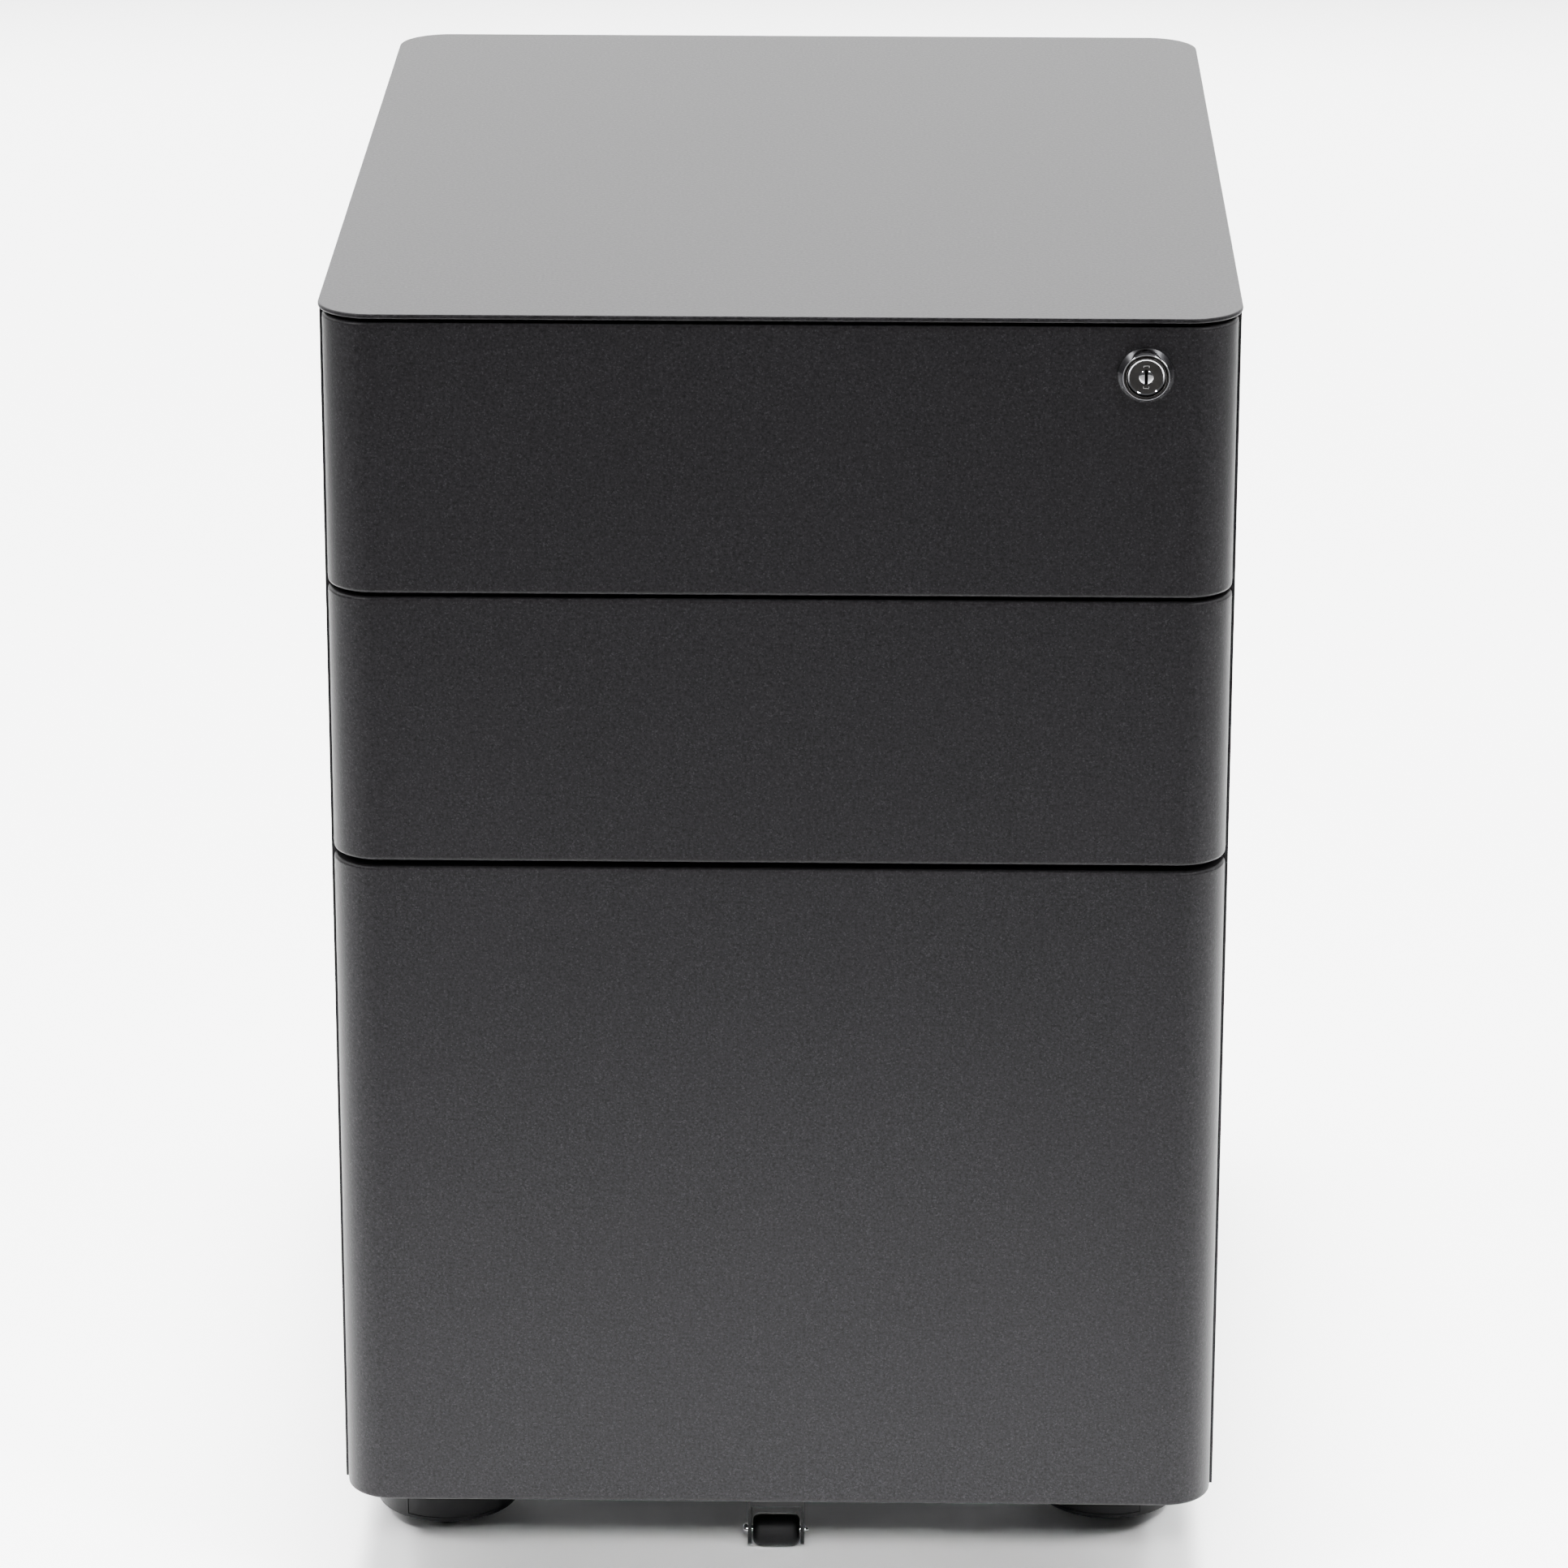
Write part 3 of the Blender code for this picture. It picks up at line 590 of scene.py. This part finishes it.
FRONT_RADIUS = 0.0205
DRAWER_SHEET = 0.001
FOLD_RADIUS = 0.0016
LOCK_HOLE_RADIUS = 0.0094
HEM_RADIUS = 0.00075
HEM_INSET, HEM_DEPTH = 0.0004, 0.0007
HEM_STOP = 0.0006  # from a hem's ends to the ends of its front
HEM_ENDS = [(0.0012, 0.0003), (0.0004, 0.0011), (0.0, 0.0024)]  # (turned in, above the stop)
RIM_BEND, RIM_RADIUS, RIM_DROP = 0.0024, 0.0011, 0.0006
RACE_X, RACE_Z = 0.1866, 0.0126  # from the cabinet's middle, and from a slide's
CAGE_WIDTH, CAGE_HEIGHT = 0.0022, 0.0006
CAGE_START, CAGE_END = 0.004, 0.135
BALLS = 9
BALL_RADIUS = 0.00095
BALL_START, BALL_STEP = 0.008, 0.0143


def drawer_front(drawer, lock_axis):
    """A folded pan with wide rolled corners and softly bent edges, and a hem down each side."""
    node = f"{drawer}_drawer_front"
    body = f"{drawer}_drawer"
    low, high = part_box(node)
    shape = box_shape(low, high)
    corners = edges_along(shape, "Z", lambda middle: middle.y < low.y + NEAR)
    round_edges(shape, corners, FRONT_RADIUS, CORNER_STEPS)
    remove_face(shape, (0, 1, 0))
    folds = [edge for edge in shape.edges if on_rim(edge) and len(edge.link_faces) == 2]
    round_edges(shape, folds, FOLD_RADIUS, 5)
    item = new_item(f"{node}_skin", shape)
    thicken(item, DRAWER_SHEET)
    if drawer == "top":
        x, z = lock_axis
        hole = rod_shape((x, low.y + 0.010, z), LOCK_HOLE_RADIUS, 0.030, "Y", 64)
        combine(item, "DIFFERENCE", hole)
    finish_piece(item, CHARCOAL, body, "charcoal_paint", node)
    hems = []
    for side in (-1, 1):
        x, y = side * (high.x - HEM_INSET), high.y - HEM_DEPTH
        foot, head = low.z + HEM_STOP, high.z - HEM_STOP
        path = [(x - side * inset, y, foot + rise) for inset, rise in HEM_ENDS]
        path += [(x - side * inset, y, head - rise) for inset, rise in reversed(HEM_ENDS)]
        hems.append(tube_shape(path, HEM_RADIUS, 14))
    add_piece(f"{node}_hems", join_shapes(hems), CHARCOAL, body, "charcoal_paint")


def tray_rim(drawer):
    """The rolled top edge of a drawer box."""
    node = f"{drawer}_drawer_tray"
    low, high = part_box(node)
    half = -low.x - DRAWER_SHEET / 2 - RIM_BEND
    front, back = low.y + DRAWER_SHEET / 2 + RIM_BEND, high.y - DRAWER_SHEET / 2 - RIM_BEND
    path = []
    for i, corner in enumerate(((half, back), (-half, back), (-half, front), (half, front))):
        path += arc(corner, RIM_BEND, 90 * i, 90 * (i + 1), 6)
    level = high.z - RIM_DROP
    shape = tube_shape([(x, y, level) for x, y in path], RIM_RADIUS, 10, closed=True)
    add_piece(f"{node}_rim", shape, INNER, f"{drawer}_drawer", "inner_paint")


def slide_details(drawer):
    """The ball cages between the members of a drawer's slides, and their balls."""
    cages = []
    balls = []
    for side_name, side in (("left", -1), ("right", 1)):
        low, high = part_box(f"{drawer}_slide_middle_{side_name}")
        x = side * RACE_X
        middle = (low.z + high.z) / 2
        for level in (-1, 1):
            z = middle + level * RACE_Z
            near = (x - CAGE_WIDTH / 2, low.y + CAGE_START, z - CAGE_HEIGHT / 2)
            far = (x + CAGE_WIDTH / 2, low.y + CAGE_END, z + CAGE_HEIGHT / 2)
            cages.append(box_shape(near, far))
            for i in range(BALLS):
                y = low.y + CAGE_START + BALL_START + i * BALL_STEP
                place = Matrix.Translation((x, y, z))
                ball = bmesh.new()
                bmesh.ops.create_uvsphere(
                    ball, u_segments=16, v_segments=10, radius=BALL_RADIUS, matrix=place
                )
                balls.append(ball)
    body = f"{drawer}_slide_middle"
    add_piece(f"{drawer}_slide_ball_cages", join_shapes(cages), ZINC, body, "zinc_steel")
    add_piece(f"{drawer}_slide_balls", join_shapes(balls), CHROME, body, "zinc_steel")


# ---------------------------------------------------------------- lock

LOCK_STEPS = 96
# Inside this radius the bezel's chrome is painted dark, a painted dark reflection on the inner
# lip.
PAINTED_DARK_REACH = 0.0097  # the bezel's faces inside this radius are dark
KEYWAY_WIDTH, KEYWAY_HEIGHT, KEYWAY_DEPTH = 0.0014, 0.0062, 0.012
DISH_RADIUS, DISH_DEPTH = 0.0032, 0.0013
PLUG_RIM = (0.0071, 0.0079)
PLUG_FACE = [
    (0.0, -0.00045),
    (0.0010, -0.00048),
    (0.0019, -0.00058),
    (0.0027, -0.00078),
    (0.0031, -0.00105),
    (0.0032, -0.00125),
    (0.0071, -0.00125),
    (0.0075, -0.00085),
    (0.0077, -0.00080),
    (0.0078, -0.00100),
]
BEZEL_LIP = [
    (0.0081, -0.0003),
    (0.00835, 0.0),
    (0.0086, 0.0),
    (0.0089, -0.0003),
    (0.0091, -0.0008),
    (0.0094, -0.0008),
    (0.0096, -0.0003),
    (0.0098, -0.0003),
    (0.0100, -0.0006),
]
MARK_NEAR, MARK_FAR = 0.0041, 0.0050  # a bracket mark's ends, up or down from the lock's axis
MARK_INNER, MARK_OUTER = 0.0010, 0.0013
MARK_BAR = 0.00025
MARK_BACK, MARK_FRONT = 0.0014, 0.00117  # behind the front of the housing


def lock(lock_axis):
    """Conical bezel with an inner lip, a plug with a keyway, and two bracket marks on it. The lip
    and the plug are chrome painted dark: a painted dark reflection.
    """
    low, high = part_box("lock_housing")
    x, z = lock_axis
    place = Matrix.Translation((x, low.y, z)) @ Matrix.Rotation(math.pi / 2, 4, "X")
    flange = low.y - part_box("top_drawer_front")[0].y + GAP
    end = low.y - high.y
    cone = [(0.0117, flange + 0.0011), (0.0119, flange + 0.0007), (0.0120, flange + 0.0004)]
    barrel = [(0.0119, flange), (0.0090, flange), (0.0090, end), (0.0081, end)]
    shape = turned_shape(BEZEL_LIP + cone + barrel, LOCK_STEPS, place)
    ring = add_piece("lock_bezel", shape, CHROME, "top_drawer", "chrome", "lock_housing")
    # The inner lip's faces take the chrome painted dark: a painted dark reflection.
    ring.data.materials.append(PAINTED_DARK_CHROME)
    for face in ring.data.polygons:
        corners = [ring.data.vertices[i].co for i in face.vertices]
        if max(math.hypot(corner.x - x, corner.z - z) for corner in corners) < PAINTED_DARK_REACH:
            face.material_index = 1
    plug_end = low.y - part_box("lock_plug")[1].y
    plug = PLUG_FACE + [(0.0078, plug_end), (0.0, plug_end)]
    item = new_item("lock_core", turned_shape(plug, LOCK_STEPS, place))
    near = (x - KEYWAY_WIDTH / 2, low.y - NEAR, z - KEYWAY_HEIGHT / 2)
    far = (x + KEYWAY_WIDTH / 2, low.y + KEYWAY_DEPTH, z + KEYWAY_HEIGHT / 2)
    combine(item, "DIFFERENCE", box_shape(near, far))
    # The plug is chrome painted dark, a painted dark reflection; its dish and rim keep the bright
    # chrome.
    finish_piece(item, PAINTED_DARK_CHROME, "lock_plug", "chrome", "lock_plug")
    item.data.materials.append(CHROME)
    for face in item.data.polygons:
        reach = math.hypot(face.center.x - x, face.center.z - z)
        in_dish = reach < DISH_RADIUS and face.center.y < low.y + DISH_DEPTH
        if in_dish or PLUG_RIM[0] < reach < PLUG_RIM[1]:
            face.material_index = 1
    back, front = low.y + MARK_BACK, low.y + MARK_FRONT
    marks = []
    for level in (-1, 1):
        for left, right, start, stop in (
            (-MARK_OUTER, -MARK_INNER, MARK_NEAR, MARK_FAR),
            (MARK_INNER, MARK_OUTER, MARK_NEAR, MARK_FAR),
            (-MARK_OUTER, MARK_OUTER, MARK_FAR - MARK_BAR, MARK_FAR),
        ):
            foot, head = sorted((z + level * start, z + level * stop))
            marks.append(box_shape((x + left, front, foot), (x + right, back, head)))
    add_piece("lock_marks", join_shapes(marks), ZINC, "lock_plug", "chrome")


# ---------------------------------------------------------------- anti-tip roller

STRAP_SHEET = 0.0016
STRAP_BACK = -0.206
STRAP_BEND = 0.0018
ARM_HEIGHT = 0.0440
CHEEK_FRONT, CHEEK_BACK = -0.204, -0.184
CHEEK_RADIUS = 0.0035
WEB_FOOT = 0.0245
ROLLER_RADIUS, ROLLER_ROUNDING = 0.0075, 0.0035
ROLLER_BORE = 0.0023


def antitip():
    """The bent strap, its two cheeks and web, the riveted pin and the roller."""
    low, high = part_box("antitip_bracket")
    foot = high.z - STRAP_SHEET / 2
    leg = low.y + STRAP_SHEET / 2
    path = [(STRAP_BACK, foot), (leg, foot), (leg, ARM_HEIGHT), (CHEEK_BACK, ARM_HEIGHT)]
    strap = folded_shape(rounded_path(path, STRAP_BEND, 6), low.x, high.x, "X")
    item = new_item("antitip_strap", strap)
    thicken(item, STRAP_SHEET, inward=False)
    web_back = CHEEK_FRONT + STRAP_SHEET
    web = box_shape((low.x, CHEEK_FRONT, WEB_FOOT), (high.x, web_back, ARM_HEIGHT))
    combine(item, "UNION", web)
    for left, right in ((low.x, low.x + STRAP_SHEET), (high.x - STRAP_SHEET, high.x)):
        cheek = box_shape((left, CHEEK_FRONT, low.z), (right, CHEEK_BACK, ARM_HEIGHT))
        feet = edges_along(cheek, "X", lambda middle: middle.z < low.z + NEAR)
        round_edges(cheek, feet, CHEEK_RADIUS, 8)
        combine(item, "UNION", cheek)
    soften(item, 0.0003)
    finish_piece(item, BLACK_PAINT, "file_drawer", "black_steel", "antitip_bracket")
    pin_low, pin_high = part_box("antitip_axle")
    centre = ((low.x + high.x) / 2, (pin_low.y + pin_high.y) / 2, (pin_low.z + pin_high.z) / 2)
    across = Matrix.Translation(centre) @ Matrix.Rotation(math.pi / 2, 4, "Y")
    head = high.x - centre[0] + GAP
    pin = [
        (0.0, head + 0.0016),
        (0.0007, head + 0.0016),
        (0.0010, head + 0.0012),
        (0.0010, head),
        (0.0020, head),
        (0.0020, -head),
        (0.0026, -head),
        (0.0026, -head - 0.0011),
        (0.0023, -head - 0.0017),
        (0.0016, -head - 0.0021),
        (0.0, -head - 0.0022),
    ]
    shape = turned_shape(pin, 48, across)
    add_piece("antitip_pin", shape, CHROME, "file_drawer", "zinc_steel", "antitip_axle")
    node = "antitip_roller"
    low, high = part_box(node)
    half = (high.x - low.x) / 2
    flank, shoulder = ROLLER_RADIUS - ROLLER_ROUNDING, half - ROLLER_ROUNDING
    profile = [(ROLLER_BORE, half - 0.0006), (ROLLER_BORE + 0.0006, half)]
    profile += arc((flank, shoulder), ROLLER_ROUNDING, 90, 0, 12)
    profile += arc((flank, -shoulder), ROLLER_ROUNDING, 0, -90, 12)
    profile += [(ROLLER_BORE + 0.0006, -half), (ROLLER_BORE, 0.0006 - half)]
    shape = turned_shape(profile, 72, across)
    add_piece("antitip_wheel", shape, WHEEL_NYLON, node, "black_nylon", node)


# ---------------------------------------------------------------- casters

TRAIL = 0.016  # from a caster's swivel axis to its axle
SHROUD_RADIUS = 0.0325
SHROUD_SHEET = 0.002
SHROUD_FOOT, SHROUD_TOP = 0.0075, 0.049
SHROUD_BEND = 0.010
GROOVE_DEPTH = 0.0004
GROOVE_FOOT, GROOVE_TOP = 0.0021, 0.0026  # above the shroud's foot
GROOVE_SWEEP = 185
SEAM_DROP = 0.0125  # from the shroud's top to its seam
# Where each seam stands round its shroud, and which way the groove runs from it
SEAMS = {
    "front_left": (59.7, 1),
    "front_right": (-102.7, -1),
    "rear_left": (60.0, 1),
    "rear_right": (-60.0, -1),
}
WHEEL_RADIUS = 0.0225
WHEEL_INNER, WHEEL_OUTER = 0.0045, 0.0190
WHEEL_BORE = 0.0035
# The dished face of a wheel, as (radius, depth)
WHEEL_FACE = [
    (WHEEL_BORE, 0.0010),
    (0.0060, 0.0010),
    (0.0064, 0.0018),
    (0.0156, 0.0018),
    (0.0163, 0.0012),
    (0.0170, 0.0024),
    (0.0186, 0.0024),
    (0.0194, 0.0),
    (0.0209, 0.0),
]
TREAD_OUTER, TREAD_INNER = 0.0016, 0.0012


def caster_hood(name, swivel, seam):
    """The round shroud, with a fine groove above its rim that ends at an upright seam."""
    radius, foot, top = SHROUD_RADIUS, SHROUD_FOOT, SHROUD_TOP
    inner = radius - SHROUD_SHEET
    inner_bend = SHROUD_BEND - SHROUD_SHEET
    profile = [(0.0, top)]
    profile += arc((radius - SHROUD_BEND, top - SHROUD_BEND), SHROUD_BEND, 90, 0, 14)
    profile += [(radius, foot + 0.0005), (radius - 0.0005, foot)]
    profile += [(inner + 0.0003, foot), (inner, foot + 0.0003)]
    profile += arc((inner - inner_bend, top - SHROUD_BEND), inner_bend, 0, 90, 10)
    profile += [(0.0, top - SHROUD_SHEET)]
    axle_place = swivel @ Matrix.Translation((TRAIL, 0.0, 0.0))
    item = new_item(f"{name}_shroud", turned_shape(profile, 96, axle_place))
    turn, way = seam
    cut = (radius - GROOVE_DEPTH, radius + 0.001, foot + GROOVE_FOOT)
    groove = ring_sector(*cut, foot + GROOVE_TOP, turn, turn + way * GROOVE_SWEEP)
    upright = ring_sector(*cut, top - SEAM_DROP, turn - 0.5, turn + 0.5, 2)
    web = box_shape((TRAIL - 0.025, -0.004, 0.012), (TRAIL + 0.025, 0.004, top - 0.001))
    neck = rod_shape((0.0, 0.0, 0.0542), 0.0075, 0.0126, "Z")
    axle = rod_shape((TRAIL, 0.0, WHEEL_RADIUS), 0.003, 0.036, "Y", 32)
    bore = rod_shape((0.0, 0.0, 0.0652), 0.0044, 0.030, "Z")
    for shape, matrix, operation in (
        (web, swivel, "UNION"),
        (neck, swivel, "UNION"),
        (axle, swivel, "UNION"),
        (groove, axle_place, "DIFFERENCE"),
        (upright, axle_place, "DIFFERENCE"),
        (bore, swivel, "DIFFERENCE"),
    ):
        bmesh.ops.transform(shape, matrix=matrix, verts=shape.verts)
        combine(item, operation, shape)
    finish_piece(item, HOOD_NYLON, name, "black_nylon", f"{name}_hood")


def caster_wheel(name, letter, side, swivel):
    """One wheel, dished on its outer face, with rounded tread edges."""
    width = WHEEL_OUTER - WHEEL_INNER
    outer = (WHEEL_RADIUS - TREAD_OUTER, width - TREAD_OUTER)
    inner = (WHEEL_RADIUS - TREAD_INNER, TREAD_INNER)
    profile = [(radius, width - depth) for radius, depth in WHEEL_FACE]
    profile += arc(outer, TREAD_OUTER, 80, 0, 5)
    profile += arc(inner, TREAD_INNER, 0, -80, 5)
    profile += [(WHEEL_BORE, 0.0)]
    hub = Matrix.Translation((TRAIL, side * WHEEL_INNER, WHEEL_RADIUS))
    place = swivel @ hub @ Matrix.Rotation(-side * math.pi / 2, 4, "X")
    node = f"{name}_wheel_{letter}"
    shape = turned_shape(profile, 96, place)
    add_piece(f"{node}_tread", shape, WHEEL_NYLON, node, "black_nylon", node)


def caster_mount(name, swivel):
    """The round plate under the base, and its stem."""
    low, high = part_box(f"{name}_mount")
    radius = (high.x - low.x) / 2
    profile = [
        (0.0, high.z),
        (radius - 0.0003, high.z),
        (radius, high.z - 0.0003),
        (radius, high.z - 0.0014),
        (radius - 0.0006, high.z - 0.0020),
        (0.0046, high.z - 0.0020),
        (0.0040, high.z - 0.0026),
        (0.0040, low.z + 0.0004),
        (0.0036, low.z),
        (0.0, low.z),
    ]
    shape = turned_shape(profile, 64, swivel)
    add_piece(f"{name}_plate", shape, ZINC, "root", "zinc_steel", f"{name}_mount")


def wheel_middle(name):
    """The middle of a caster's two wheels."""
    ends = [point for letter in "ab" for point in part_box(f"{name}_wheel_{letter}")]
    return sum(ends, Vector()) / 4


def casters():
    for corner, seam in SEAMS.items():
        name = f"caster_{corner}"
        mount_low, mount_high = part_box(f"{name}_mount")
        pivot = (mount_low + mount_high) / 2
        axle = wheel_middle(name)
        turn = math.atan2(axle.y - pivot.y, axle.x - pivot.x)
        swivel = Matrix.Translation((pivot.x, pivot.y, 0.0)) @ Matrix.Rotation(turn, 4, "Z")
        caster_mount(name, swivel)
        caster_hood(name, swivel, seam)
        caster_wheel(name, "a", 1, swivel)
        caster_wheel(name, "b", -1, swivel)


# ---------------------------------------------------------------- floor, light and camera

FLOOR_HALF = 9.0
FLOOR_COLOUR = (0.94, 0.94, 0.94, 1.0)
STUDIO_FROM, STUDIO_TO = 0.45, 0.97  # the span of +Y directions over which the studio brightens
STUDIO_DIM, STUDIO_BRIGHT = 0.12, 6.00
CAMERA_PLACE = (0.048, -2.8774, 1.324)
CAMERA_LENS = 149.02
CAMERA_YAW, CAMERA_PITCH, CAMERA_ROLL = 0.998, 19.563, 0.078


def floor():
    shape = bmesh.new()
    bmesh.ops.create_grid(shape, x_segments=1, y_segments=1, size=FLOOR_HALF)
    item = new_item("floor", shape)
    material, _, shader = new_material("pale_floor")
    shader.inputs["Base Color"].default_value = FLOOR_COLOUR
    shader.inputs["Roughness"].default_value = 0.95
    shader.inputs["Specular IOR Level"].default_value = 0.1
    item.data.materials.append(material)


def world():
    """A studio that is dim in front of the cabinet and bright behind it."""
    scene_world = bpy.data.worlds.new("studio")
    bpy.context.scene.world = scene_world
    scene_world.use_nodes = True
    tree = scene_world.node_tree
    back = tree.nodes["Background"]
    place = tree.nodes.new("ShaderNodeTexCoord")
    split = tree.nodes.new("ShaderNodeSeparateXYZ")
    link(tree, place, "Generated", split, "Vector")
    shade = tree.nodes.new("ShaderNodeMapRange")
    shade.interpolation_type = "SMOOTHSTEP"
    shade.inputs["From Min"].default_value = STUDIO_FROM
    shade.inputs["From Max"].default_value = STUDIO_TO
    shade.inputs["To Min"].default_value = STUDIO_DIM
    shade.inputs["To Max"].default_value = STUDIO_BRIGHT
    link(tree, split, "Y", shade, "Value")
    link(tree, shade, "Result", back, "Color")
    back.inputs["Strength"].default_value = 1.0


def area_light(name, place, aim, size, energy, spread=180.0):
    light = bpy.data.lights.new(name, "AREA")
    light.shape = "RECTANGLE"
    light.size, light.size_y = size
    light.energy = energy
    light.spread = math.radians(spread)
    item = bpy.data.objects.new(name, light)
    item.location = place
    item.rotation_euler = (Vector(aim) - Vector(place)).to_track_quat("-Z", "Y").to_euler()
    bpy.context.scene.collection.objects.link(item)
    return item


def lights():
    """Pools of light from above, a fill at the foot, and a tall bank and a small key each side."""
    pools = [area_light("overhead", (0.0, 1.2, 2.4), (0.0, 1.2, 0.0), (2.6, 3.9), 205.0, 32.0)]
    for name, x in (("left_pool", -1.1), ("right_pool", 1.1)):
        place, aim = (x, -0.8, 2.4), (x, -0.8, 0.0)
        pools.append(area_light(name, place, aim, (0.9, 1.0), 9.0, 32.0))
    for pool in pools:
        pool.visible_glossy = False
    area_light("foot_fill", (0.0, -1.7, 1.1), (0.0, -0.28, 0.0), (0.6, 0.25), 1.3, 24.0)
    for side in (-1, 1):
        bank, key = (side * 1.5, 0.18, 1.65), (side * 1.1, -1.2, 1.9)
        area_light(f"bank_{side}", bank, (0.0, -0.1, 0.5), (0.6, 1.5), 38.0)
        area_light(f"key_{side}", key, (0.0, -0.25, 0.5), (0.25, 0.25), 4.5, 60.0)


def camera():
    lens = bpy.data.cameras.new("camera")
    lens.sensor_width = 36.0
    lens.lens = CAMERA_LENS
    item = bpy.data.objects.new("camera", lens)
    item.location = CAMERA_PLACE
    turn = Matrix.Identity(3)
    for angle, axis in ((CAMERA_YAW, "Z"), (90.0 - CAMERA_PITCH, "X"), (CAMERA_ROLL, "Z")):
        turn = turn @ Matrix.Rotation(math.radians(angle), 3, axis)
    item.rotation_euler = turn.to_euler()
    bpy.context.scene.collection.objects.link(item)
    bpy.context.scene.camera = item


# ---------------------------------------------------------------- the cabinet


def cabinet():
    low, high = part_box("lock_housing")
    lock_axis = ((low.x + high.x) / 2, (low.z + high.z) / 2)
    top_panel()
    side_panel("left_side_panel", -1)
    side_panel("right_side_panel", 1)
    back_panel()
    for drawer in DRAWERS:
        drawer_front(drawer, lock_axis)
        tray_rim(drawer)
        slide_details(drawer)
    lock(lock_axis)
    antitip()
    casters()


dress_frame()
cabinet()
floor()
world()
lights()
camera()
